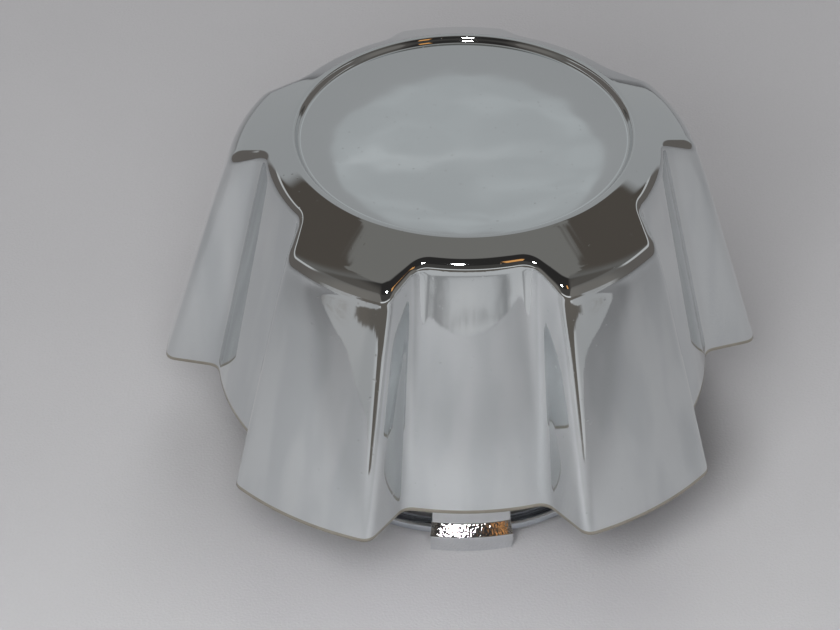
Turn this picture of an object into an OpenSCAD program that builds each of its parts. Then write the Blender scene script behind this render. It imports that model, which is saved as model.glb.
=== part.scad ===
/* [Face] */
// Diameter of the flat recessed face
face_d = 93.8; // [70:0.2:120]
// Depth of the flat face below the crest of the lip
face_depth = 1.7; // [0.8:0.1:3]
// Width of the curved wall from the face up to the crest of the lip
lip_wall_w = 1.7; // [1:0.1:3]
// Width of the lip from its crest to the crown
lip_w = 1.6; // [1:0.1:3]
// Width of the crown from the lip to a valley
crown_w = 6.8; // [4:0.1:12]
// Slope of the crown below level
crown_slope = 27; // [15:1:35]

/* [Lobes] */
// Number of lobes, one over each wheel nut
lobe_count = 5; // [4:1:6]
// Reach of the lobes beyond the valleys where crown and skirt meet
lobe_top_reach = 10.4; // [8:0.1:14]
// Reach of the lobes beyond the valleys at the skirt's lower edge
lobe_foot_reach = 15.7; // [10:0.1:20]
// Outward run of the valley walls from the crown to the skirt's lower edge
valley_flare = 15.1; // [8:0.1:20]
// Half angle of a valley where crown and skirt meet
valley_top_angle = 15.7; // [12:0.1:17]
// Half angle of a valley at the skirt's lower edge
valley_foot_angle = 16.3; // [12:0.1:17]
// Angle that a flank takes between valley and lobe at the top
flank_top_angle = 5.4; // [4:0.1:7]
// Angle that a flank takes between valley and lobe at the foot
flank_foot_angle = 4.2; // [3:0.1:6]

/* [Skirt] */
// Depth from the flat face down to the skirt's lower edge
skirt_depth = 80.9; // [66:0.1:90]
// Rise of the lower edge in the valleys
valley_lift = 1.2; // [0:0.1:4]
// Wall thickness of the moulding
wall = 2.5; // [2:0.1:3]
// Run of the rounding along each side of the shoulder
shoulder_run = 2.4; // [1.5:0.1:2.6]
// Run of the rounding along each side of the upright corners
corner_run = 3.2; // [2.8:0.1:3.6]

/* [Snap legs] */
// Distance of the legs inside the upper edge of the valleys
leg_gap = 4.2; // [3:0.1:6]
// Thickness of a leg
leg_t = 3; // [2.4:0.1:4]
// Width of a leg along its circle
leg_w = 23.2; // [18:0.2:30]
// Reach of the leg tips below the skirt's lower edge
leg_reach = 27.9; // [20:0.1:36]
// Radial height of the catch on a leg
catch_h = 3.1; // [2:0.1:5]
// Height of the catch from its widest edge down to the tip
catch_foot = 5.9; // [3:0.1:8]
// Taper of the catch towards the tip
catch_lead = 1; // [0.4:0.1:2]
// Thickness of the two ribs behind each leg
rib_t = 2; // [1.5:0.1:3]
// Distance of the ribs in from the sides of the leg
rib_inset = 4; // [2:0.5:7]
// Length of a rib down the leg
rib_l = 46; // [20:1:50]

/* [Retaining ring] */
// Diameter of the spring wire
wire_d = 4.5; // [3:0.1:5]
// Depth of the groove in each leg that the wire lies in
groove_depth = 1.8; // [1.2:0.1:2.2]
// Height of the middle of the wire above the leg tips
wire_rise = 4.8; // [4:0.1:7]
// Gap between the ends of the ring
ring_gap = 7; // [3:0.5:20]
// Clearance between the wire and its groove
wire_clearance = 0.1; // [0.05:0.05:0.3]

/* [Hidden] */
$fn = 96;

pitch = 360 / lobe_count;
foot_z = -skirt_depth;
tip_z = foot_z - leg_reach;
face_r = face_d / 2;
lip_r = face_r + lip_wall_w;
crown_r = lip_r + lip_w;
valley_top_r = crown_r + crown_w;
lobe_top_r = valley_top_r + lobe_top_reach;
valley_foot_r = valley_top_r + valley_flare;
lobe_foot_r = valley_foot_r + lobe_foot_reach;
leg_r = valley_top_r - leg_gap;
leg_in_r = leg_r - leg_t;
catch_r = leg_r + catch_h;
wire_r = leg_in_r + groove_depth - wire_d / 2;
wire_z = tip_z + wire_rise;

// Points along one half of a lobe and valley
valley_steps = 3;
corner_steps = 5;
lobe_steps = 4;
shoulder_steps = 6;
skirt_steps = 3;

// The crown falls from the end of the lip, which bulges between lip and crown
lip_fall = tan(crown_slope) * lip_w / 2;
crown_top_z = face_depth - lip_fall;
function crown_z(r) = crown_top_z - tan(crown_slope) * (r - crown_r);

// Angles are measured about the axis from the front valley, which faces -Y
function at(r, a) = [r * sin(a), -r * cos(a)];
function unit(v) = v / norm(v);
function meet(p, u, q, v) =
    p + u * ((q.x - p.x) * v.y - (q.y - p.y) * v.x) / (u.x * v.y - u.y * v.x);
function bend(p, c, q, t) = (1 - t) ^ 2 * p + 2 * t * (1 - t) * c + t ^ 2 * q;
function polar(p) = [norm(p), atan2(p.x, -p.y)];

// Half of one valley, flank and lobe, from the middle of the valley to the middle of the lobe
function half_outline(valley_r, valley_a, lobe_r, lobe_a, run) =
    let (
        v = at(valley_r, valley_a),
        l = at(lobe_r, lobe_a),
        flank = unit(l - v),
        va = valley_a - run / valley_r * 180 / PI,
        la = lobe_a + run / lobe_r * 180 / PI,
        v0 = at(valley_r, va),
        l2 = at(lobe_r, la),
        vc = meet(v0, [cos(va), sin(va)], v, flank),
        lc = meet(l2, [cos(la), sin(la)], v, flank)
    )
    concat(
        [for (i = [0 : valley_steps - 1]) at(valley_r, va * i / valley_steps)],
        [for (i = [0 : corner_steps]) bend(v0, vc, v + run * flank, i / corner_steps)],
        [for (i = [0 : corner_steps]) bend(l - run * flank, lc, l2, i / corner_steps)],
        [for (i = [1 : lobe_steps]) at(lobe_r, la + (pitch / 2 - la) * i / lobe_steps)]
    );

// The half outline turned and mirrored round the whole cap
function whole_outline(half) =
    let (p = [for (q = half) polar(q)], m = len(half) - 1)
    [for (k = [0 : lobe_count - 1], i = [0 : 2 * m - 1])
        i <= m ? at(p[i][0], k * pitch + p[i][1])
               : at(p[2 * m - i][0], (k + 1) * pitch - p[2 * m - i][1])];

// Outward directions of a closed outline, level with it
function outward(o) =
    let (n = len(o))
    [for (i = [0 : n - 1])
        let (t = unit(o[(i + 1) % n] - o[(i + n - 1) % n])) [t.y, -t.x]];

function with_z(p, z) = [p.x, p.y, z];
function on_crown(p) = with_z(p, crown_z(norm(p)));

top_outline = whole_outline(half_outline(valley_top_r, valley_top_angle,
    lobe_top_r, valley_top_angle + flank_top_angle, corner_run));
foot_outline = whole_outline(half_outline(valley_foot_r, valley_foot_angle,
    lobe_foot_r, valley_foot_angle + flank_foot_angle, corner_run));
points_round = len(top_outline);
top_out = outward(top_outline);
foot_out = outward(foot_outline);

// The shoulder edge, the lower edge and the straight skirt lines between them
function foot_rise(p) = valley_lift * (lobe_foot_r - norm(p)) / lobe_foot_reach;
edge = [for (p = top_outline) on_crown(p)];
foot = [for (p = foot_outline) with_z(p, foot_z + foot_rise(p))];
fall = [for (i = [0 : points_round - 1]) unit(foot[i] - edge[i])];

// Directions square to the crown and to the skirt, for the inside of the wall
crown_out = [for (p = top_outline)
    with_z(unit(p) * sin(crown_slope), cos(crown_slope))];
skirt_out = [for (i = [0 : points_round - 1])
    let (level = unit(top_out[i] + foot_out[i]), t = [-level.y, level.x, 0])
    unit(cross(t, fall[i])) * (cross(t, fall[i]) * with_z(level, 0) > 0 ? 1 : -1)];
mitre = [for (i = [0 : points_round - 1])
    (crown_out[i] + skirt_out[i]) / (1 + crown_out[i] * skirt_out[i])];

// Rings of points, from the flat face outwards, down the skirt and back up inside it
function round_ring(r, z) =
    [for (p = top_outline) with_z(unit(p) * r, z)];
function shoulder_ring(t, depth) =
    [for (i = [0 : points_round - 1]) bend(
        on_crown(top_outline[i] - shoulder_run * top_out[i]) - depth * crown_out[i],
        edge[i] - depth * mitre[i],
        edge[i] + shoulder_run * fall[i] - depth * skirt_out[i], t)];
function foot_ring(depth) =
    [for (i = [0 : points_round - 1])
        let (level = [skirt_out[i].x, skirt_out[i].y])
        with_z([foot[i].x, foot[i].y] - depth * level / norm(level) ^ 2, foot[i].z)];
function between(a, b, t) =
    [for (i = [0 : points_round - 1]) a[i] * (1 - t) + b[i] * t];

wall_rings = [for (t = [0 : 0.25 : 1])
    round_ring(face_r + (lip_r - face_r) * t, face_depth * (1 - cos(180 * t)) / 2)];
lip_rings = [for (t = [0.5, 1])
    round_ring(lip_r + (crown_r - lip_r) * t, face_depth - lip_fall * t ^ 2)];
shoulder_rings = [for (i = [0 : shoulder_steps]) shoulder_ring(i / shoulder_steps, 0)];
skirt_rings = [for (i = [1 : skirt_steps])
    between(shoulder_ring(1, 0), foot_ring(0), i / skirt_steps)];
inner_rings = [for (i = [0 : skirt_steps])
    between(foot_ring(wall), shoulder_ring(1, wall), i / skirt_steps)];
under_rings = [
    shoulder_ring(0.5, wall),
    shoulder_ring(0, wall),
    round_ring(crown_r - wall * sin(crown_slope), crown_top_z - wall * cos(crown_slope)),
    round_ring(face_r - wall / 2, -wall)
];
rings = concat(wall_rings, lip_rings, shoulder_rings, skirt_rings, inner_rings, under_rings);

// Each band between two rings is cut into triangles, mirrored about each lobe and valley
module ring_skin(rings) {
    n = len(rings[0]);
    half_n = n / lobe_count / 2;
    bands = [for (j = [0 : len(rings) - 2], i = [0 : n - 1])
        let (
            a = j * n + i,
            b = a + n,
            c = (j + 1) * n + (i + 1) % n,
            d = j * n + (i + 1) % n
        )
        each i % (2 * half_n) < half_n ? [[a, d, c], [a, c, b]] : [[a, d, b], [d, c, b]]];
    top = [[for (i = [n - 1 : -1 : 0]) i]];
    under = [[for (i = [0 : n - 1]) (len(rings) - 1) * n + i]];
    polyhedron([for (r = rings) each r], concat(bands, top, under), convexity = 10);
}

// Legs and ribs reach this far into the crown from its outer face
root = 0.6 * wall / cos(crown_slope);

// One snap leg, in the middle of a valley, from inside the crown wall to its tip
module leg() {
    half_a = leg_w / leg_r * 90 / PI;
    barb_z = tip_z + catch_foot;
    rotate(-90 - half_a)
        rotate_extrude(angle = 2 * half_a)
            difference() {
                polygon([
                    [leg_in_r, crown_z(leg_in_r) - root],
                    [leg_r, crown_z(leg_r) - root],
                    [leg_r, barb_z + catch_h],
                    [catch_r, barb_z],
                    [catch_r - catch_lead, tip_z],
                    [leg_in_r + catch_lead / 2, tip_z],
                    [leg_in_r, tip_z + catch_lead]
                ]);
                translate([wire_r, wire_z])
                    circle(d = wire_d + 2 * wire_clearance, $fn = 48);
            }
}

// Distance of the valley wall from the axis at a height, at the middle of the wall
function valley_wall_r(z) =
    let (top_z = crown_z(valley_top_r))
    valley_top_r + valley_flare * (z - top_z) / (foot_z + valley_lift - top_z) - wall / 2;

// A rib ties the leg to the crown and to the valley wall behind it
module rib() {
    leg_mid_r = leg_r - leg_t / 2;
    bend_r = valley_top_r - wall;
    wall_top_z = crown_z(valley_top_r) - wall;
    low_z = crown_z(leg_r) - wall - rib_l;
    rotate([90, 0, -90])
        linear_extrude(height = rib_t, center = true)
            polygon([
                [leg_mid_r, crown_z(leg_mid_r) - root],
                [bend_r, crown_z(bend_r) - root],
                [valley_wall_r(wall_top_z), wall_top_z],
                [valley_wall_r(low_z), low_z],
                [leg_mid_r, low_z - leg_t]
            ]);
}

module cap_shell() {
    color([0.80, 0.81, 0.83]) {
        ring_skin(rings);
        for (k = [0 : lobe_count - 1])
            rotate(k * pitch) {
                leg();
                for (side = [-1, 1])
                    translate([side * (leg_w / 2 - rib_inset), 0, 0])
                        rib();
            }
    }
}

// The wire ring is open at the back, between two legs
module retaining_ring() {
    gap_a = ring_gap / wire_r * 180 / PI;
    color([0.55, 0.57, 0.60])
        translate([0, 0, wire_z])
            rotate(90 + gap_a / 2)
                rotate_extrude(angle = 360 - gap_a)
                    translate([wire_r, 0])
                        circle(d = wire_d, $fn = 48);
}

cap_shell();
retaining_ring();
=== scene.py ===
import math

import bmesh
import bpy
from mathutils import Matrix, Vector


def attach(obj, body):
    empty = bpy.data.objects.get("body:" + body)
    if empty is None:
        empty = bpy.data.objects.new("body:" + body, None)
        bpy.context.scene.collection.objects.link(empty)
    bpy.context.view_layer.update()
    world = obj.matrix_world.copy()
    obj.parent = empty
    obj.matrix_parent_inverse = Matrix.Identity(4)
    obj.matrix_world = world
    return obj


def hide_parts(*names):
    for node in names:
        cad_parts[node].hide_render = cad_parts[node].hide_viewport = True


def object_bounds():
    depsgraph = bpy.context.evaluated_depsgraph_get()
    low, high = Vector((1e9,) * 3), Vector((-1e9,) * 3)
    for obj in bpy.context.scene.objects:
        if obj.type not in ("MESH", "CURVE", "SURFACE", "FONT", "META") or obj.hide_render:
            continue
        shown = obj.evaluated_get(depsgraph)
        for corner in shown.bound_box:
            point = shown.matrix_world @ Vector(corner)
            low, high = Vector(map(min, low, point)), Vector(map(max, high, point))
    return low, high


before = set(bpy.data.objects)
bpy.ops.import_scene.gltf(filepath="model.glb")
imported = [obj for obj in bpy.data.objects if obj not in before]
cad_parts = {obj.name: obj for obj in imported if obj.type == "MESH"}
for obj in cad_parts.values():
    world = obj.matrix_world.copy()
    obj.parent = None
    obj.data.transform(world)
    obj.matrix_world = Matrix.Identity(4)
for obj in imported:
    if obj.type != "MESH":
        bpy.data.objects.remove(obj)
cad_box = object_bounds()

MM = 0.001

# Face and lip, in metres, measured out from the axis. A name that ends in STEPS says how
# finely a curve is divided.
FACE_R = 46.9 * MM
FACE_DEPTH = 1.7 * MM
FACE_CROWN = 0.25 * MM
LIP_R = 48.6 * MM
CROWN_R = 50.2 * MM
CROWN_SLOPE = math.radians(27)
LIP_FALL = math.tan(CROWN_SLOPE) * (CROWN_R - LIP_R) / 2
FACE_RINGS = (0.08, 0.25, 0.42, 0.56, 0.68, 0.78, 0.86, 0.92, 0.96, 0.985)
RISE_STEPS = 8
LIP_STEPS = 5
CROWN_STEPS = 4

# Lobes and valleys where crown and skirt meet, and at the foot of the skirt
LOBES = 5
PITCH = 2 * math.pi / LOBES
LOBE_TOP_R = 67.4 * MM
LOBE_FOOT_R = 87.8 * MM
VALLEY_TOP_R = 57.0 * MM
VALLEY_FOOT_R = 72.1 * MM
VALLEY_TOP_ANGLE = math.radians(15.7)
VALLEY_FOOT_ANGLE = math.radians(16.3)
FLANK_TOP_ANGLE = math.radians(5.4)
FLANK_FOOT_ANGLE = math.radians(4.2)
CORNER_RUN = 3.2 * MM
CORNER_STEPS = 8
ARC_STEPS = 6
VALLEY_SHOULDER = 2.4 * MM
LOBE_SHOULDER = 4.6 * MM
SWELL_DEPTH = 0.38 * MM
SWELL_RUN = 15.0 * MM
SWELL_STEPS = 5
SHOULDER_STEPS = 8

# Skirt
FOOT_Z = -80.9 * MM
VALLEY_LIFT = 1.2 * MM
WALL = 2.5 * MM
EDGE_R = 0.25 * MM
SKIRT_STEPS = 8
INSIDE_STEPS = 5
INSIDE_SHOULDER = (2 / 3, 1 / 3, 0)

# Snap legs and their ribs
TIP_Z = cad_box[0][2]
LEG_R = 52.8 * MM
LEG_T = 3.0 * MM
LEG_IN_R = LEG_R - LEG_T
LEG_W = 23.2 * MM
CATCH_H = 3.1 * MM
CATCH_FOOT = 5.9 * MM
CATCH_LEAD = 1.0 * MM
LEG_EDGE_R = 0.35 * MM
LEG_STEPS = 10
BARB_FINISH = 1
RIB_T = 2.0 * MM
RIB_INSET = 4.0 * MM
RIB_L = 46.0 * MM

# How far under the crown's surface legs and ribs end, which is inside its wall
ROOT = 0.6 * WALL / math.cos(CROWN_SLOPE)

# Retaining ring of spring wire
WIRE_R = 2.25 * MM
WIRE_GAP = 7.0 * MM
GROOVE_DEPTH = 1.8 * MM
GROOVE_R = WIRE_R + 0.1 * MM
GROOVE_STEPS = 12
WIRE_STEPS = 24
RING_STEPS = 180
WIRE_END_R = 0.5 * MM
RING_R = LEG_IN_R + GROOVE_DEPTH - WIRE_R
RING_Z = TIP_Z + 4.8 * MM

# Angles in degrees over which an edge is broken, and over which it isn't shaded smooth
LEG_SHARP = 25
RIB_SHARP = 40
WIRE_SHARP = 60
SHELL_SMOOTH = 32
RING_SMOOTH = 40

# Camera, as the photograph was taken
LENS_MM = 192.86
SENSOR_MM = 36
CLIP_START = 0.05
CAMERA_DISTANCE = 1.3235
CAMERA_ELEVATION = math.radians(38.19)
CAMERA_TURN = math.radians(-2.88)
CAMERA_ROLL = math.radians(0.11)
CAMERA_TARGET = Vector((-0.012384, 0.000623, -0.06454))

# Finishes, each from its darker to its lighter tint
CHROME = ((0.600, 0.628, 0.636, 1), (0.705, 0.728, 0.732, 1))
# The legs' chrome is a lighter copy of the shell's: painted light, for the bright cloth that the
# legs mirror.
LEG_CHROME_PAINTED_LIGHT = ((0.78, 0.80, 0.81, 1), (0.86, 0.88, 0.89, 1))
BARB_GREY = (0.60, 0.59, 0.60, 1)
BARB_BRIGHT = (0.84, 0.83, 0.81, 1)
# The skirt's lower edge: thin yellowish plating, darkened as painted shade.
EDGE_SHADE_DARK = (0.34, 0.31, 0.25, 1)
EDGE_SHADE_PALE = (0.50, 0.47, 0.40, 1)
BACK_DARK = (0.52, 0.53, 0.54, 1)
BACK_PALE = (0.70, 0.71, 0.72, 1)
WIRE_DARK = (0.56, 0.60, 0.65, 1)
WIRE_PALE = (0.66, 0.69, 0.73, 1)
CLOTH_GREY = (0.378, 0.372, 0.380, 1)
CLOTH_PALE = (0.462, 0.456, 0.464, 1)
# Painted shade on the cloth in front of the cap
CLOTH_FRONT_SHADE = (0.26, 0.256, 0.262, 1)

# Floor, in two square sheets that meet in front of the cap
FLOOR_SIZE = 4.0
FLOOR_SEAM_Y = -0.35

# Lamps
WARM_WHITE = (1.0, 0.99, 0.975)
COOL_WHITE = (0.97, 0.99, 1.0)
LEG_WHITE = (0.95, 0.98, 1.0)
BACK_WHITE = (0.98, 0.985, 1.0)
FLASH_SIDE = math.radians(3)
FLASH_LIFT = math.radians(2)
FLASH_R = 0.07
FLASH_POWER = 10.0

# The room's plain light, and the colours of the room that the chrome mirrors
PLAIN_LIGHT = (0.30, 0.30, 0.305, 1)
BACKDROP = (0.62, 0.62, 0.63, 1)
DIM_WALL = (0.165, 0.158, 0.150, 1)
CEILING = (0.222, 0.213, 0.200, 1)
FAR_CORNER = (0.100, 0.086, 0.074, 1)
NEAR_WALL = (0.215, 0.200, 0.185, 1)
NEAR_END = (0.155, 0.140, 0.130, 1)
PELMET = (0.62, 0.62, 0.62, 1)
OPENING_LOW = (0.070, 0.066, 0.062, 1)
OPENING_HIGH = (0.032, 0.030, 0.029, 1)
OPENING_END = (0.115, 0.105, 0.096, 1)
GLEAM = (0.95, 0.95, 0.96, 1)
WARM_LAMP = (1.0, 0.48, 0.16, 1)
NEAR_CLOTH = (0.60, 0.60, 0.61, 1)
NEAR_CLOTH_END = (0.45, 0.45, 0.455, 1)
CLOTH_RING = (0.31, 0.31, 0.315, 1)
CLOTH_MARK = (0.33, 0.315, 0.30, 1)
DARK_STRIP = (0.15, 0.135, 0.12, 1)
WALL_GREY = (0.408, 0.412, 0.417, 1)
WALL_OVAL = (0.492, 0.508, 0.516, 1)
WALL_BLOTCH = (0.560, 0.580, 0.590, 1)
WALL_STREAK = (0.70, 0.72, 0.73, 1)


def at(radius, angle, z=0.0):
    """A point seen from the axis: angle 0 is the front valley, towards -Y."""
    return Vector((radius * math.sin(angle), -radius * math.cos(angle), z))


def bend(start, corner, end, t):
    """A point on the curve that leaves start towards corner and comes from there to end."""
    return (1 - t) ** 2 * start + 2 * t * (1 - t) * corner + t ** 2 * end


def level(angle):
    """The level direction across the spoke at this angle, towards larger angles."""
    return Vector((math.cos(angle), math.sin(angle), 0))


def meet(p, u, q, v):
    """Where the line from p along u crosses the line from q along v, seen from above."""
    across = u.x * v.y - u.y * v.x
    return p + u * (((q.x - p.x) * v.y - (q.y - p.y) * v.x) / across)


def half_outline(valley_r, valley_a, lobe_r, lobe_a):
    """From the middle of a valley, round both corners of a flank, to the middle of a lobe."""
    valley = at(valley_r, valley_a)
    lobe = at(lobe_r, lobe_a)
    flank = (lobe - valley).normalized()
    valley_end = valley_a - CORNER_RUN / valley_r
    lobe_start = lobe_a + CORNER_RUN / lobe_r
    low_in = at(valley_r, valley_end)
    low_out = valley + CORNER_RUN * flank
    high_in = lobe - CORNER_RUN * flank
    high_out = at(lobe_r, lobe_start)
    low = meet(low_in, level(valley_end), valley, flank)
    high = meet(high_out, level(lobe_start), valley, flank)
    corner = [i / CORNER_STEPS for i in range(CORNER_STEPS + 1)]
    points = [at(valley_r, valley_end * i / ARC_STEPS) for i in range(ARC_STEPS)]
    points += [bend(low_in, low, low_out, t) for t in corner]
    points += [low_out.lerp(high_in, 0.33), low_out.lerp(high_in, 0.67)]
    points += [bend(high_in, high, high_out, t) for t in corner]
    rest = PITCH / 2 - lobe_start
    points += [at(lobe_r, lobe_start + rest * i / ARC_STEPS) for i in range(1, ARC_STEPS + 1)]
    return points


def whole_outline(half):
    """The half outline mirrored and repeated all the way round."""
    last = len(half) - 1
    polar = [(p.length, math.atan2(p.x, -p.y)) for p in half]
    points = []
    for k in range(LOBES):
        for i in range(2 * last):
            r, a = polar[i] if i <= last else polar[2 * last - i]
            points.append(at(r, k * PITCH + a if i <= last else (k + 1) * PITCH - a))
    return points


def outward(outline):
    """The level direction straight out of the outline at each of its points."""
    n = len(outline)
    steps = [(outline[(i + 1) % n] - outline[i - 1]).normalized() for i in range(n)]
    return [Vector((t.y, -t.x, 0)) for t in steps]


def crown_z(radius):
    """Height of the sloping crown, which goes on straight past its edge."""
    return FACE_DEPTH - LIP_FALL - math.tan(CROWN_SLOPE) * (radius - CROWN_R)


def on_crown(p):
    """The point of the crown right above or below this one."""
    return Vector((p.x, p.y, crown_z(math.hypot(p.x, p.y))))


class ShellForm:
    """The rings of points that the shell passes through, from its face down and back inside."""

    def __init__(self):
        self.top = whole_outline(half_outline(
            VALLEY_TOP_R, VALLEY_TOP_ANGLE, LOBE_TOP_R, VALLEY_TOP_ANGLE + FLANK_TOP_ANGLE))
        foot = whole_outline(half_outline(
            VALLEY_FOOT_R, VALLEY_FOOT_ANGLE, LOBE_FOOT_R, VALLEY_FOOT_ANGLE + FLANK_FOOT_ANGLE))
        self.top_out = outward(self.top)
        self.shoulder = []
        self.swell = []
        for p in self.top:
            reach = (p.length - VALLEY_TOP_R) / (LOBE_TOP_R - VALLEY_TOP_R)
            ease = reach * reach * (3 - 2 * reach)
            self.shoulder.append(VALLEY_SHOULDER + (LOBE_SHOULDER - VALLEY_SHOULDER) * ease)
            self.swell.append(SWELL_DEPTH * ease)
        foot_out = outward(foot)
        self.edge = [on_crown(p) for p in self.top]
        self.foot = []
        for p in foot:
            inset = (LOBE_FOOT_R - p.length) / (LOBE_FOOT_R - VALLEY_FOOT_R)
            self.foot.append(Vector((p.x, p.y, FOOT_Z + VALLEY_LIFT * inset)))
        self.fall = [(f - e).normalized() for e, f in zip(self.edge, self.foot)]
        self.crown_out = []
        self.skirt_out = []
        self.mitre = []
        for i, p in enumerate(self.top):
            spoke = p.normalized()
            crown = spoke * math.sin(CROWN_SLOPE) + Vector((0, 0, math.cos(CROWN_SLOPE)))
            out = (self.top_out[i] + foot_out[i]).normalized()
            along = Vector((-out.y, out.x, 0))
            skirt = along.cross(self.fall[i]).normalized()
            skirt = skirt if skirt.dot(out) > 0 else -skirt
            self.crown_out.append(crown)
            self.skirt_out.append(skirt)
            self.mitre.append((crown + skirt) / (1 + crown.dot(skirt)))

    def round_ring(self, radius, z):
        """A circle whose points lie on the same spokes as the outline's."""
        return [Vector((p.x, p.y, 0)).normalized() * radius + Vector((0, 0, z)) for p in self.top]

    def shoulder_ring(self, t, depth=0.0):
        """Round the shoulder, from the crown at t = 0 to the skirt at t = 1, at this depth."""
        ring = []
        for i, p in enumerate(self.top):
            run = self.shoulder[i]
            start = on_crown(p - run * self.top_out[i]) - depth * self.crown_out[i]
            corner = self.edge[i] - depth * self.mitre[i]
            end = self.edge[i] + run * self.fall[i] - depth * self.skirt_out[i]
            ring.append(bend(start, corner, end, t))
        return ring

    def foot_ring(self, depth=0.0, rise=0.0):
        """Along the foot of the skirt, at this depth in the wall and this far above the foot."""
        ring = []
        for i, p in enumerate(self.foot):
            out = Vector((self.skirt_out[i].x, self.skirt_out[i].y, 0))
            q = p - out * (depth / out.length_squared)
            ring.append(q - self.fall[i] * (rise / abs(self.fall[i].z)))
        return ring

    def between(self, a, b, steps):
        """Even rings from a to b, without a and with b."""
        return [[p.lerp(q, s / steps) for p, q in zip(a, b)] for s in range(1, steps + 1)]

    def outside_rings(self):
        """From the middle of the face over the lip, crown and shoulder down the skirt."""
        rings = []
        for reach in FACE_RINGS:
            rings.append(self.round_ring(FACE_R * reach, FACE_CROWN * (1 - reach ** 4)))
        for s in range(RISE_STEPS + 1):
            ease = (1 - math.cos(math.pi * s / RISE_STEPS)) / 2
            radius = FACE_R + (LIP_R - FACE_R) * s / RISE_STEPS
            rings.append(self.round_ring(radius, FACE_DEPTH * ease))
        for s in range(1, LIP_STEPS + 1):
            t = s / LIP_STEPS
            radius = LIP_R + (CROWN_R - LIP_R) * t
            rings.append(self.round_ring(radius, FACE_DEPTH - LIP_FALL * t ** 2))
        rings += self.between(rings[-1], self.shoulder_ring(0), CROWN_STEPS)
        for s in range(1, SHOULDER_STEPS + 1):
            t = s / SHOULDER_STEPS
            rings.append(self.drawn_in(self.shoulder_ring(t), t ** 2))
        start = self.shoulder_ring(1)
        foot = self.foot_ring(rise=EDGE_R)
        fall = (foot[0] - start[0]).length
        for s in range(1, SWELL_STEPS + 1):
            t = s / SWELL_STEPS
            ring = [p.lerp(q, t * SWELL_RUN / fall) for p, q in zip(start, foot)]
            rings.append(self.drawn_in(ring, (1 - t) ** 2))
        rings += self.between(rings[-1], foot, SKIRT_STEPS)
        return rings

    def drawn_in(self, ring, share):
        """The ring with its lobes drawn in a little, as a thick shoulder shrinks in the mould."""
        return [p - self.skirt_out[i] * self.swell[i] * share for i, p in enumerate(ring)]

    def edge_rings(self):
        """Round both corners of the skirt's lower edge."""
        side = 0.15 * EDGE_R
        rise = 0.3 * EDGE_R
        return [
            self.foot_ring(side, rise),
            self.foot_ring(EDGE_R),
            self.foot_ring(WALL - EDGE_R),
            self.foot_ring(WALL - side, rise),
        ]

    def inside_rings(self):
        """Back up inside the skirt and under the crown to the underside of the face."""
        rings = [self.foot_ring(WALL, EDGE_R)]
        rings += self.between(rings[-1], self.shoulder_ring(1, WALL), INSIDE_STEPS)
        rings += [self.shoulder_ring(t, WALL) for t in INSIDE_SHOULDER]
        rings.append(self.round_ring(
            CROWN_R - WALL * math.sin(CROWN_SLOPE),
            crown_z(CROWN_R) - WALL * math.cos(CROWN_SLOPE)))
        rings.append(self.round_ring(FACE_R - WALL / 2, -WALL))
        return rings


def start_piece():
    """Back to object mode with nothing selected, so that the next piece is worked on alone."""
    if bpy.context.object and bpy.context.object.mode != "OBJECT":
        bpy.ops.object.mode_set(mode="OBJECT")
    bpy.ops.object.select_all(action="DESELECT")


def corner_plate(name, corners):
    """A flat plate with these corners, left in edit mode and selected all over."""
    start_piece()
    bpy.ops.mesh.primitive_circle_add(
        vertices=len(corners), radius=LEG_T, fill_type="NGON", location=(0, 0, 0))
    piece = bpy.context.object
    piece.name = name
    bpy.ops.object.mode_set(mode="EDIT")
    mesh = bmesh.from_edit_mesh(piece.data)
    for vertex, corner in zip(sorted(mesh.verts, key=lambda v: v.index), corners):
        vertex.co = corner
    bmesh.update_edit_mesh(piece.data)
    return piece


def select_only(mesh, vertices):
    """Selects these vertices, and the edges and faces that lie wholly on them."""
    bpy.ops.mesh.select_all(action="DESELECT")
    for vertex in vertices:
        vertex.select = True
    mesh.select_flush(True)


def close_piece(piece):
    """Merges doubles, turns the faces outwards and leaves edit mode."""
    bpy.ops.mesh.select_all(action="SELECT")
    bpy.ops.mesh.remove_doubles(threshold=0.01 * MM)
    bpy.ops.mesh.normals_make_consistent(inside=False)
    bpy.ops.object.mode_set(mode="OBJECT")
    return piece


def smooth_piece(piece, angle):
    """Shades the piece smooth, apart from edges sharper than this angle in degrees."""
    start_piece()
    piece.select_set(True)
    bpy.context.view_layer.objects.active = piece
    bpy.ops.object.shade_smooth_by_angle(angle=math.radians(angle))


def moulded_shell(name, chrome, edge_chrome, back_chrome):
    """A round face whose rim is extruded ring by ring: lip, crown, shoulder, skirt, and back
    up inside to a flat ceiling."""
    form = ShellForm()
    outside, edge, inside = range(3)
    bands = [(ring, outside) for ring in form.outside_rings()]
    bands += [(ring, edge) for ring in form.edge_rings()]
    bands += [(ring, inside) for ring in form.inside_rings()]
    shell = corner_plate(name, bands[0][0])
    for finish in (chrome, edge_chrome, back_chrome):
        shell.data.materials.append(finish)
    mesh = bmesh.from_edit_mesh(shell.data)
    loop = sorted(mesh.verts, key=lambda v: v.index)
    for ring, finish in bands[1:]:
        select_only(mesh, loop)
        bpy.ops.mesh.extrude_edges_move()
        loop = [next(
            e.other_vert(v) for e in v.link_edges if e.other_vert(v).select) for v in loop]
        for vertex, place in zip(loop, ring):
            vertex.co = place
            for face in vertex.link_faces:
                face.material_index = finish
    select_only(mesh, loop)
    bpy.ops.mesh.edge_face_add()
    for face in mesh.faces:
        if face.select:
            face.material_index = inside
    close_piece(shell)
    rounded = shell.modifiers.new("rounded", "SUBSURF")
    rounded.levels = 1
    rounded.render_levels = 1
    rounded.use_limit_surface = False
    bpy.ops.object.modifier_apply(modifier=rounded.name)
    return shell


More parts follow.
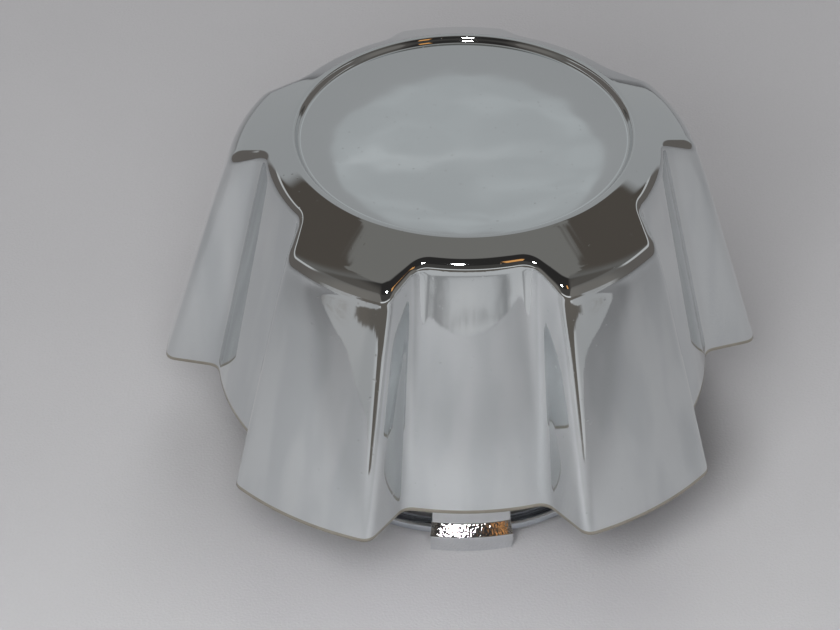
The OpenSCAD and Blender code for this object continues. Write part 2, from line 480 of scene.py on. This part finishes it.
def leg_section(angle):
    """Outline of a leg cut along the axis: barb outside, groove for the wire inside."""
    barb_z = TIP_Z + CATCH_FOOT
    opening = math.acos((LEG_IN_R - RING_R) / GROOVE_R)
    section = [
        (LEG_IN_R, crown_z(LEG_IN_R) - ROOT),
        (LEG_R, crown_z(LEG_R) - ROOT),
        (LEG_R, barb_z + CATCH_H),
        (LEG_R + CATCH_H, barb_z),
        (LEG_R + CATCH_H - CATCH_LEAD, TIP_Z),
        (LEG_IN_R + CATCH_LEAD / 2, TIP_Z),
        (LEG_IN_R, TIP_Z + CATCH_LEAD),
    ]
    for s in range(GROOVE_STEPS + 1):
        turn = opening * (2 * s / GROOVE_STEPS - 1)
        section.append((RING_R + GROOVE_R * math.cos(turn), RING_Z + GROOVE_R * math.sin(turn)))
    return [at(r, angle, z) for r, z in section]


def select_sharp_edges(mesh, degrees):
    """Selects the edges whose faces meet at more than this angle."""
    bpy.ops.mesh.select_all(action="DESELECT")
    bpy.ops.mesh.select_mode(type="EDGE")
    for edge in mesh.edges:
        if edge.is_manifold and edge.calc_face_angle(0) > math.radians(degrees):
            edge.select_set(True)
    mesh.select_flush_mode()


def snap_leg(name, chrome, barb_chrome):
    """One leg in the middle of the front valley, spun from its section, with broken edges."""
    half_angle = LEG_W / LEG_R / 2
    leg = corner_plate(name, leg_section(-half_angle))
    leg.data.materials.append(chrome)
    leg.data.materials.append(barb_chrome)
    bpy.ops.mesh.spin(
        steps=LEG_STEPS, angle=-2 * half_angle, center=(0, 0, 0), axis=(0, 0, 1),
        use_auto_merge=False)
    bpy.ops.mesh.select_all(action="SELECT")
    bpy.ops.mesh.normals_make_consistent(inside=False)
    mesh = bmesh.from_edit_mesh(leg.data)
    select_sharp_edges(mesh, LEG_SHARP)
    bpy.ops.mesh.bevel(offset=LEG_EDGE_R, segments=3, affect="EDGES")
    bpy.ops.mesh.select_mode(type="VERT")
    mesh = bmesh.from_edit_mesh(leg.data)
    mesh.normal_update()
    slope_z = TIP_Z + CATCH_FOOT + CATCH_H / 2
    for face in mesh.faces:
        middle_z = face.calc_center_median().z
        if face.normal.z > 0.5 and abs(middle_z - slope_z) < CATCH_H:
            face.material_index = BARB_FINISH
    return close_piece(leg)


def leg_rib(name, side, chrome):
    """A thin rib behind the leg, from the crown down the valley wall."""
    mid_r = LEG_R - LEG_T / 2
    bend_r = VALLEY_TOP_R - WALL
    wall_top_z = crown_z(VALLEY_TOP_R) - WALL
    low_z = crown_z(LEG_R) - WALL - RIB_L
    fall = FOOT_Z + VALLEY_LIFT - crown_z(VALLEY_TOP_R)

    def wall_r(z):
        along = (z - crown_z(VALLEY_TOP_R)) / fall
        return VALLEY_TOP_R + (VALLEY_FOOT_R - VALLEY_TOP_R) * along - WALL / 2

    left = side * (LEG_W / 2 - RIB_INSET) - RIB_T / 2
    outline = [
        (mid_r, crown_z(mid_r) - ROOT),
        (bend_r, crown_z(bend_r) - ROOT),
        (wall_r(wall_top_z), wall_top_z),
        (wall_r(low_z), low_z),
        (mid_r, low_z - LEG_T),
    ]
    rib = corner_plate(name, [Vector((left, -r, z)) for r, z in outline])
    rib.data.materials.append(chrome)
    bpy.ops.mesh.extrude_region_move(TRANSFORM_OT_translate={"value": (RIB_T, 0, 0)})
    bpy.ops.mesh.select_all(action="SELECT")
    bpy.ops.mesh.normals_make_consistent(inside=False)
    select_sharp_edges(bmesh.from_edit_mesh(rib.data), RIB_SHARP)
    bpy.ops.mesh.bevel(offset=LEG_EDGE_R, segments=2, affect="EDGES")
    bpy.ops.mesh.select_mode(type="VERT")
    return close_piece(rib)


def turned_copies(piece):
    """The piece again in each of the other valleys, each copy with its own mesh."""
    copies = [piece]
    for k in range(1, LOBES):
        start_piece()
        piece.select_set(True)
        bpy.context.view_layer.objects.active = piece
        bpy.ops.object.duplicate()
        copy = bpy.context.object
        copy.rotation_euler.z = k * PITCH
        bpy.ops.object.transform_apply(location=True, rotation=True, scale=True)
        copies.append(copy)
    return copies


def joined(base, pieces):
    """The base and the pieces as one object, which keeps the base's name."""
    start_piece()
    for piece in pieces:
        piece.select_set(True)
    base.select_set(True)
    bpy.context.view_layer.objects.active = base
    bpy.ops.object.join()
    return base


def spring_ring(name, steel):
    """The open ring of spring wire, spun from its round section, with its cut ends broken."""
    half_gap = WIRE_GAP / RING_R / 2
    start = math.pi + half_gap
    middle = at(RING_R, start, RING_Z)
    out = at(1, start)
    section = []
    for s in range(WIRE_STEPS):
        turn = 2 * math.pi * s / WIRE_STEPS
        spoke = out * math.cos(turn) + Vector((0, 0, math.sin(turn)))
        section.append(middle + WIRE_R * spoke)
    ring = corner_plate(name, section)
    ring.data.materials.append(steel)
    bpy.ops.mesh.spin(
        steps=RING_STEPS, angle=2 * half_gap - 2 * math.pi, center=(0, 0, 0), axis=(0, 0, 1),
        use_auto_merge=False)
    bpy.ops.mesh.select_all(action="SELECT")
    bpy.ops.mesh.normals_make_consistent(inside=False)
    select_sharp_edges(bmesh.from_edit_mesh(ring.data), WIRE_SHARP)
    bpy.ops.mesh.bevel(offset=WIRE_END_R, segments=3, affect="EDGES")
    bpy.ops.mesh.select_mode(type="VERT")
    return close_piece(ring)


class Shade:
    """A number that changes over a surface: arithmetic on it adds the Math nodes."""

    def __init__(self, tree, socket):
        self.tree = tree
        self.socket = socket

    def math(self, operation, first, second):
        node = self.tree.nodes.new("ShaderNodeMath")
        node.operation = operation
        for place, value in enumerate((first, second)):
            if isinstance(value, Shade):
                self.tree.links.new(value.socket, node.inputs[place])
            else:
                node.inputs[place].default_value = value
        return Shade(self.tree, node.outputs[0])

    def __add__(self, other):
        return self.math("ADD", self, other)

    def __radd__(self, other):
        return self.math("ADD", other, self)

    def __sub__(self, other):
        return self.math("SUBTRACT", self, other)

    def __rsub__(self, other):
        return self.math("SUBTRACT", other, self)

    def __mul__(self, other):
        return self.math("MULTIPLY", self, other)

    def __rmul__(self, other):
        return self.math("MULTIPLY", other, self)

    def __truediv__(self, other):
        return self.math("DIVIDE", self, other)

    def __rtruediv__(self, other):
        return self.math("DIVIDE", other, self)

    def __abs__(self):
        return self.math("ABSOLUTE", self, 0.0)


class Finish:
    """The nodes of one finish. All but the Math nodes are made by node."""

    def __init__(self, tree):
        self.tree = tree
        self.tree.nodes.clear()

    def node(self, kind, settings=None, sockets=None, out=0):
        """A new node, its settings first and then the values or links of its sockets."""
        made = self.tree.nodes.new(kind)
        for name, value in (settings or {}).items():
            setattr(made, name, value)
        for name, value in (sockets or {}).items():
            if isinstance(value, Shade):
                self.tree.links.new(value.socket, made.inputs[name])
            else:
                made.inputs[name].default_value = value
        return Shade(self.tree, made.outputs[out]) if made.outputs else None

    def point(self):
        """The place of a spot on its piece, in metres."""
        return self.node("ShaderNodeTexCoord", out="Object")

    def along(self, vector, axis):
        """One number of a point or a direction: its X, Y or Z."""
        return self.node("ShaderNodeSeparateXYZ", {}, {"Vector": vector}, axis)

    def upright(self, vector, scale):
        """The vector with its height scaled: under 1 a pattern gets taller, over 1 flatter."""
        return self.node("ShaderNodeMapping", {}, {"Vector": vector, "Scale": (1, 1, scale)})

    def noise(self, vector, size, detail):
        """Even noise from 0 to 1 whose patches are about this size across."""
        return self.node("ShaderNodeTexNoise", {}, {
            "Vector": vector, "Scale": 1 / size, "Detail": detail})

    def band(self, value, low, high):
        """A smooth step from 0 at low to 1 at high, which falls where low is the larger."""
        return self.node("ShaderNodeMapRange", {"interpolation_type": "SMOOTHSTEP"}, {
            "Value": value, "From Min": low, "From Max": high, "To Min": 0, "To Max": 1})

    def blend(self, mask, below, above):
        """The first colour where the mask is 0, the second where it is 1."""
        factor, colour_a, colour_b, colour_out = 0, 6, 7, 2
        return self.node(
            "ShaderNodeMix", {"data_type": "RGBA"},
            {factor: mask, colour_a: below, colour_b: above}, colour_out)

    def skin(self, tint, roughness, height, metallic=1.0):
        """Ends the finish: the surface itself, whose grain stands up by height in metres."""
        bump = self.node("ShaderNodeBump", {}, {
            "Height": height, "Distance": 1.0, "Strength": 1.0})
        surface = self.node("ShaderNodeBsdfPrincipled", {}, {
            "Base Color": tint, "Metallic": metallic, "Roughness": roughness, "Normal": bump})
        self.node("ShaderNodeOutputMaterial", {}, {"Surface": surface})


def new_finish(name):
    material = bpy.data.materials.new(name)
    material.use_nodes = True
    return material, Finish(material.node_tree)


def chrome_plating(name, grey, bright):
    """Bright chrome on a moulding: soft waves, pinhead specks, and on the skirt upright streaks
    of painted reflection in its tint.
    """
    material, finish = new_finish(name)
    point = finish.point()
    skirt = finish.band(finish.along(point, "Z"), -4 * MM, -12 * MM)
    waves = finish.noise(finish.upright(point, 0.3), 20 * MM, 1.0)
    ripples = finish.noise(point, 8 * MM, 1.0)
    specks = finish.band(finish.noise(point, 1.1 * MM, 0.0), 0.80, 0.86)
    haze = finish.noise(point, 30 * MM, 3.0)
    # Painted reflection: upright lighter and darker streaks in the tint on the skirt.
    painted_reflection_streaks = finish.band(finish.noise(finish.upright(point, 0.12), 11 * MM, 2.0), 0.38, 0.62)
    tint = finish.blend(painted_reflection_streaks * skirt * 0.7 + haze * 0.3, grey, bright)
    height = waves * 0.04 * MM + ripples * skirt * 0.003 * MM + specks * 0.006 * MM
    finish.skin(tint, haze * 0.03 + specks * 0.15 + 0.02, height)
    return material


def barb_plating():
    """Chrome over the coarse skin of the catch, which glitters in small grains."""
    material, finish = new_finish("barb_plating")
    point = finish.point()
    grains = finish.noise(point, 0.8 * MM, 2.0)
    scuffs = finish.noise(point, 3 * MM, 2.0)
    tint = finish.blend(scuffs, BARB_GREY, BARB_BRIGHT)
    finish.skin(tint, scuffs * 0.06 + 0.04, grains * 0.10 * MM + scuffs * 0.06 * MM)
    return material


def edge_plating_painted_shade():
    """The lower edge of the skirt, where the plating is thin, satin and a little yellow, and
    darkened as painted shade for the shade under the foot.
    """
    material, finish = new_finish("edge_plating_painted_shade")
    wear = finish.noise(finish.point(), 4 * MM, 3.0)
    tint = finish.blend(wear, EDGE_SHADE_DARK, EDGE_SHADE_PALE)
    finish.skin(tint, wear * 0.2 + 0.12, wear * 0.05 * MM)
    return material


def back_plating():
    """The unpolished inside of the moulding: thin grey plating with mould grain and stains."""
    material, finish = new_finish("back_plating")
    point = finish.point()
    grain = finish.noise(point, 0.9 * MM, 2.0)
    stains = finish.noise(point, 25 * MM, 4.0)
    tint = finish.blend(finish.band(stains, 0.3, 0.7), BACK_DARK, BACK_PALE)
    finish.skin(tint, stains * 0.2 + 0.16, grain * 0.03 * MM + stains * 0.1 * MM)
    return material


def spring_wire():
    """Bright drawn steel wire, slightly blue, with fine marks from the die."""
    material, finish = new_finish("spring_wire")
    point = finish.point()
    marks = finish.noise(point, 0.5 * MM, 2.0)
    film = finish.noise(point, 8 * MM, 3.0)
    tint = finish.blend(film, WIRE_DARK, WIRE_PALE)
    finish.skin(tint, film * 0.12 + 0.12, marks * 0.01 * MM + film * 0.02 * MM)
    return material


def floor_cloth():
    """Pale grey cloth with a faint uneven weave, darkened towards the camera by painted shade."""
    material, finish = new_finish("floor_cloth")
    point = finish.point()
    weave = finish.noise(point, 0.8 * MM, 2.0)
    patches = finish.noise(point, 110 * MM, 3.0)
    tint = finish.blend(weave * 0.4 + patches * 0.6, CLOTH_GREY, CLOTH_PALE)
    # Painted shade: the cloth darkens towards the camera.
    painted_front_shade = finish.band(finish.along(point, "Y"), -0.17, -0.26)
    tint = finish.blend(painted_front_shade * 0.65, tint, CLOTH_FRONT_SHADE)
    finish.skin(tint, 0.9, weave * 0.12 * MM, metallic=0.0)
    return material


def floor_sheet(name, y, cloth):
    start_piece()
    bpy.ops.mesh.primitive_plane_add(size=FLOOR_SIZE, location=(0, y, TIP_Z))
    sheet = bpy.context.object
    sheet.name = name
    bpy.ops.object.transform_apply(location=True, rotation=True, scale=True)
    sheet.data.materials.append(cloth)
    return sheet


def studio_floor():
    """The cloth that the cap stands on, in two sheets. The chrome doesn't mirror the front one,
    so that it shows the painted room there."""
    cloth = floor_cloth()
    floor_sheet("studio_floor", FLOOR_SEAM_Y + FLOOR_SIZE / 2, cloth)
    front = floor_sheet("front_sheet", FLOOR_SEAM_Y - FLOOR_SIZE / 2, cloth)
    front.visible_glossy = False


class PaintedRoom:
    """The room that the chrome mirrors, painted by the direction in which a mirrored ray leaves:
    x to the right, y away from the camera and z up. Each part is painted over the last."""

    def __init__(self, room):
        self.room = room
        self.way = room.node("ShaderNodeTexCoord", out="Generated")
        self.x, self.y, self.z = [room.along(self.way, axis) for axis in "XYZ"]
        self.aside = abs(self.x / self.y)
        self.ragged = room.noise(self.way, 0.035, 2.0)

    def ceiling(self):
        """A grey ceiling over dim walls, which are dark brown in the far corners."""
        room, x, y, z = self.room, self.x, self.y, self.z
        wander = room.noise(self.way, 0.12, 2.0)
        height = z + (wander - 0.5) * 0.10 + (self.ragged - 0.5) * 0.05
        above = room.band(height, 0.875, 0.89)
        colour = room.blend(above, DIM_WALL, CEILING)
        corner = room.band(abs(x) * 0.61 + y * 0.354 + z * 0.707, 0.86, 0.95)
        return room.blend(corner * (1 - above), colour, FAR_CORNER)

    def near_walls(self, colour):
        """The camera's side low down, its darker ends, and a pale pelmet over each end."""
        room, x, y, z = self.room, self.x, self.y, self.z
        low = room.band(y, -0.25, -0.5) * room.band(z, 0.62, 0.42)
        colour = room.blend(low, colour, NEAR_WALL)
        ends = room.band(abs(x), 0.50, 0.60)
        low = ends * room.band(z, 0.46, 0.40) * room.band(y, -0.4, -0.2)
        colour = room.blend(low, colour, NEAR_END)
        pelmet = room.band(z, 0.40, 0.42) * room.band(z, 0.50, 0.48) * ends
        return room.blend(pelmet * room.band(y, -0.25, -0.15), colour, PELMET)

    def dark_opening(self, colour):
        """A dark opening high on the camera's side, whose sill rises towards its ends."""
        room, x, y, z = self.room, self.x, self.y, self.z
        sill = room.band(abs(x), 0.35, 0.60) * 0.40 + 0.12
        opening = room.band(y, -0.15, -0.24) * room.band(z - sill, 0.0, 0.06)
        opening = opening * room.band(z, 0.98, 0.955)
        dark = room.blend(room.band(z, 0.50, 0.58), OPENING_LOW, OPENING_HIGH)
        dark = room.blend(room.band(abs(x), 0.40, 0.60), dark, OPENING_END)
        return room.blend(opening, colour, dark)

    def lights(self, colour):
        """A bright gleam at eye level by the camera, and a warm lamp high to its right."""
        room, x, y, z = self.room, self.x, self.y, self.z
        gleam = room.band(y, -0.5, -0.7) * room.band(z, 0.13, 0.10)
        colour = room.blend(gleam * room.band(self.aside, 0.6, 0.4), colour, GLEAM)
        beside = abs(x * -0.906 + y * -0.423)
        warm = room.band(beside, 0.065, 0.045) * room.band(y, -0.2, -0.3)
        warm = warm * room.band(z, 0.55, 0.58) * room.band(z, 0.73, 0.70)
        return room.blend(warm, colour, WARM_LAMP)

    def near_cloth(self, colour):
        """Under eye level by the camera: pale cloth with one ragged ring, which the front valley
        shows under its shoulder, with faint marks far aside and a dark strip along its end."""
        room, x, y, z, aside = self.room, self.x, self.y, self.z, self.aside
        torn = room.noise(room.upright(self.way, 45), 0.05, 3.0)
        row = z + x * x * 0.085 + (torn - 0.5) * 0.004
        off = abs(x - 0.02) + (torn - 0.5) * 0.20
        patch = room.band(row, -0.2803, -0.2795) * room.band(row, -0.256, -0.262)
        patch = patch * room.band(off, 0.33, 0.30)
        middle = room.band(row, -0.2793, -0.2780) * room.band(row, -0.262, -0.268)
        middle = middle * room.band(off, 0.29, 0.16)
        ring = patch * (1 - middle * 0.95) * room.band(y, -0.5, -0.6)
        marks = room.band(torn, 0.52, 0.58) * room.band(z, -0.15, -0.11)
        marks = marks * room.band(aside, 1.2, 1.5)
        strip_foot = room.band(aside, 0.2, 0.45) * 0.078 - 0.182
        strip = room.band(z - strip_foot + (self.ragged - 0.5) * 0.05, -0.005, 0.005)
        strip = strip * room.band(aside + (self.ragged - 0.5) * 0.4, 1.25, 1.10)
        cloth = room.blend(room.band(aside, 0.4, 0.8), NEAR_CLOTH, NEAR_CLOTH_END)
        cloth = room.blend(ring, cloth, CLOTH_RING)
        cloth = room.blend(marks, cloth, CLOTH_MARK)
        cloth = room.blend(strip, cloth, DARK_STRIP)
        under = room.band(y, -0.35, -0.45) * room.band(z, 0.06, 0.02)
        return room.blend(under, colour, cloth)

    def far_wall(self, colour):
        """The pale wall behind the cap. The flat face mirrors its brighter oval, where it is
        blotched and has one slanting streak."""
        room, x, y, z = self.room, self.x, self.y, self.z
        across = x / y
        wall = room.band(across, -1.02, -0.86) * room.band(across, 1.36, 1.16)
        wall = wall * room.band(z / y, 2.7, 2.2) * room.band(y, 0.0, 0.05)
        blotch = room.noise(room.upright(self.way, 3.5), 0.030, 3.0)
        off_axis = (x - 0.0525) / 0.0460
        off_level = (z - 0.600) / 0.0355
        reach = off_axis * off_axis + off_level * off_level + (blotch - 0.5) * 0.4
        oval = room.band(reach, 1.04, 0.90)
        slant = abs(z - 0.5965 + x * 0.11 + (blotch - 0.5) * 0.006)
        streak = room.band(slant, 0.0013, 0.0003) * room.band(abs(x - 0.035), 0.045, 0.010)
        pale = room.blend(oval, WALL_GREY, WALL_OVAL)
        pale = room.blend(room.band(blotch, 0.45, 0.65) * oval, pale, WALL_BLOTCH)
        pale = room.blend(streak * oval, pale, WALL_STREAK)
        return room.blend(wall, colour, pale)


def studio_room():
    """Plain grey light, with a pale backdrop for the camera and the painted room for gloss."""
    world = bpy.data.worlds.new("studio_room")
    world.use_nodes = True
    bpy.context.scene.world = world
    room = Finish(world.node_tree)
    painted = PaintedRoom(room)
    colour = painted.ceiling()
    colour = painted.near_walls(colour)
    colour = painted.dark_opening(colour)
    colour = painted.lights(colour)
    colour = painted.near_cloth(colour)
    colour = painted.far_wall(colour)
    camera = room.node("ShaderNodeLightPath", out="Is Camera Ray")
    gloss = room.node("ShaderNodeLightPath", out="Is Glossy Ray")
    shown = room.blend(gloss, room.blend(camera, PLAIN_LIGHT, BACKDROP), colour)
    surface = room.node("ShaderNodeBackground", {}, {"Color": shown, "Strength": 1.0})
    room.node("ShaderNodeOutputWorld", {}, {"Surface": surface})


def soft_lamp(name, place, aim, size, power, colour, spread=180):
    """A soft round lamp, which neither the chrome nor the camera sees. Its light spreads over
    this many degrees."""
    start_piece()
    bpy.ops.object.light_add(type="AREA", location=place)
    lamp = bpy.context.object
    lamp.name = name
    lamp.rotation_euler = (Vector(aim) - Vector(place)).to_track_quat("-Z", "Y").to_euler()
    lamp.data.shape = "DISK"
    lamp.data.size = size
    lamp.data.energy = power
    lamp.data.color = colour
    lamp.data.spread = math.radians(spread)
    lamp.visible_glossy = False
    lamp.visible_camera = False


def flash_lamp():
    """A small bright lamp beside the lens, which only draws the sparkles on the edges."""
    start_piece()
    turn = CAMERA_TURN - FLASH_SIDE
    lift = CAMERA_ELEVATION + FLASH_LIFT
    place = at(math.cos(lift) * CAMERA_DISTANCE, turn, math.sin(lift) * CAMERA_DISTANCE)
    bpy.ops.object.light_add(type="POINT", location=place)
    lamp = bpy.context.object
    lamp.name = "flash_lamp"
    lamp.data.shadow_soft_size = FLASH_R
    lamp.data.energy = FLASH_POWER
    lamp.data.cycles.max_bounces = 1
    lamp.visible_diffuse = False


def photo_camera():
    """The camera, where the photograph was taken from."""
    start_piece()
    away = at(math.cos(CAMERA_ELEVATION), CAMERA_TURN, math.sin(CAMERA_ELEVATION))
    bpy.ops.object.camera_add(location=CAMERA_TARGET + away * CAMERA_DISTANCE)
    camera = bpy.context.object
    camera.name = "photo_camera"
    look = (-away).to_track_quat("-Z", "Y").to_matrix()
    camera.rotation_euler = (look @ Matrix.Rotation(CAMERA_ROLL, 3, "Z")).to_euler()
    camera.data.lens = LENS_MM
    camera.data.sensor_width = SENSOR_MM
    camera.data.clip_start = CLIP_START
    bpy.context.scene.camera = camera


def dress_cap():
    """Both pieces, in their finishes, in place of the nodes that they stand for."""
    chrome = chrome_plating("chrome_plating", *CHROME)
    # The legs' finish is the chrome made lighter as painted light.
    leg_chrome_painted_light = chrome_plating("leg_plating_painted_light", *LEG_CHROME_PAINTED_LIGHT)
    shell = moulded_shell("chrome_shell", chrome, edge_plating_painted_shade(), back_plating())
    leg = snap_leg("snap_leg", leg_chrome_painted_light, barb_plating())
    ribs = [leg_rib("rib_left", -1, chrome), leg_rib("rib_right", 1, chrome)]
    pieces = turned_copies(leg) + turned_copies(ribs[0]) + turned_copies(ribs[1])
    shell = joined(shell, pieces)
    smooth_piece(shell, SHELL_SMOOTH)
    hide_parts("cap_shell")
    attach(shell, "root")
    ring = spring_ring("wire_ring", spring_wire())
    smooth_piece(ring, RING_SMOOTH)
    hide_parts("retaining_ring")
    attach(ring, "root")


photo_camera()
studio_floor()
studio_room()
soft_lamp("front_lamp", (-0.40, -1.60, 1.6), CAMERA_TARGET, 1.8, 20.0, WARM_WHITE)
soft_lamp("table_lamp", (-0.10, -0.42, 0.25), (-0.04, -0.13, TIP_Z), 0.25, 1.8, COOL_WHITE)
soft_lamp("leg_lamp", (-0.05, -0.50, 0.20), (-0.01, -0.11, TIP_Z), 0.08, 0.018, LEG_WHITE, 24)
soft_lamp("back_lamp", (0.3, 1.6, 1.7), (0, 0.1, TIP_Z), 1.6, 20.0, BACK_WHITE)
flash_lamp()
dress_cap()

bpy.context.scene.view_settings.view_transform = "Standard"
